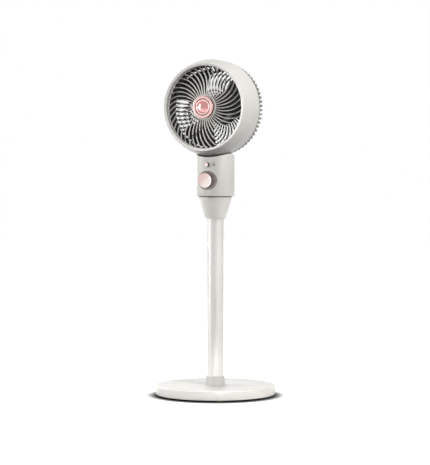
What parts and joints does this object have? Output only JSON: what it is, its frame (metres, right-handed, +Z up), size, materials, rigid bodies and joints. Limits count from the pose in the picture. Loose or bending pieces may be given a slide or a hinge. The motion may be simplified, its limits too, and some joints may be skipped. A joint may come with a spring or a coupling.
{
  "type": "air circulator fan",
  "caption": "Air circulator on a round weighted base and slim column, with a barrel head, swirled grilles, speed knob, swing button, tilt and swing joints.",
  "frame": {"origin": "middle of the footprint, on the floor under the rubber feet", "axes": "+Z up along the column, -Y out of the front grille, +X to the right seen from the front"},
  "size_m": [0.313, 0.313, 0.8715],
  "materials": {
    "shell_white": "satin moulded, warm off-white",
    "base_white": "glossy warm white",
    "column_white": "gloss enamel, warm white",
    "collar_white": "satin moulded, a little greyer than the tube",
    "grille_grey": "satin light warm grey",
    "cage_grey": "satin, a shade darker than the front grille",
    "blade_grey": "satin dark grey",
    "rose_polished": "polished rose metal",
    "rose_satin": "satin rose metal",
    "knob_taupe": "satin taupe, ridged",
    "lamp": "milky diffuser",
    "foot_rubber": "matte black",
    "weight_iron": "dark painted casting",
    "plain_steel": "zinc-plated steel",
    "plug_alloy": "die-cast",
    "frame_grey": "moulded, glass-filled",
    "gear_nylon": "natural nylon",
    "board_green": "solder mask",
    "switch_black": "moulded black"
  },
  "bodies": {
    "stand": {"base_cover": "base_white", "base_weight": "weight_iron", "base_feet": "foot_rubber", "base_screws": "plain_steel", "cord_grommet": "foot_rubber", "column_nut": "plain_steel", "column_plug": "plug_alloy", "column_tube": "column_white", "column_collar": "collar_white", "neck_cone": "shell_white", "turn_ring": "foot_rubber", "swivel_post": "plain_steel", "swing_gear": "gear_nylon", "swivel_retainer": "frame_grey"},
    "control_body": {"swivel_frame": "frame_grey", "control_front_shell": "shell_white", "control_rear_shell": "shell_white", "shell_screws": "plain_steel", "swing_motor": "plug_alloy", "control_board": "board_green", "speed_switch": "switch_black", "button_switch": "switch_black", "indicator_lens": "lamp", "knob_bezel": "knob_taupe", "tilt_pin": "plain_steel", "saddle_pad": "foot_rubber"},
    "swing_pinion": {"swing_pinion": "gear_nylon"},
    "knob": {"speed_knob": "knob_taupe", "knob_cap": "rose_satin"},
    "button": {"swing_button": "rose_satin"},
    "head": {"barrel": "shell_white", "air_duct": "blade_grey", "front_grille": "grille_grey", "hub_cap": "rose_polished", "tilt_knuckle": "frame_grey", "knuckle_screws": "plain_steel", "rear_grille": "cage_grey", "motor_housing": "plug_alloy", "motor_screws": "plain_steel", "rear_cap": "blade_grey"},
    "impeller": {"impeller": "blade_grey", "motor_shaft": "plain_steel", "impeller_nut": "plain_steel"}
  },
  "joints": [
    {"name": "swing", "type": "hinge", "parent": "stand", "child": "control_body", "pos_m": [0, 0, 0.5185], "axis": [0, 0, 1], "range_deg": [-45, 45]},
    {"name": "swing_pinion_turn", "type": "hinge", "parent": "control_body", "child": "swing_pinion", "pos_m": [0, 0.0301, 0.531], "axis": [0, 0, 1], "range_deg": [-90, 90]},
    {"name": "tilt", "type": "hinge", "parent": "control_body", "child": "head", "pos_m": [0, -0.008, 0.6075], "axis": [-1, 0, 0], "range_deg": [0, 20]},
    {"name": "fan_spin", "type": "hinge", "parent": "head", "child": "impeller", "pos_m": [0, 0, 0.747], "axis": [0, -1, 0], "continuous": true},
    {"name": "knob_turn", "type": "hinge", "parent": "control_body", "child": "knob", "pos_m": [0, -0.06, 0.559], "axis": [0, 1, 0], "range_deg": [0, 135]},
    {"name": "button_press", "type": "slide", "parent": "control_body", "child": "button", "axis": [0, 1, 0], "range_m": [0, 0.0025], "stiffness_N_per_m": 500, "springref_m": -0.001}
  ],
  "couplings": [
    {"joint": "swing_pinion_turn", "follows": "swing", "ratio": 2}
  ]
}
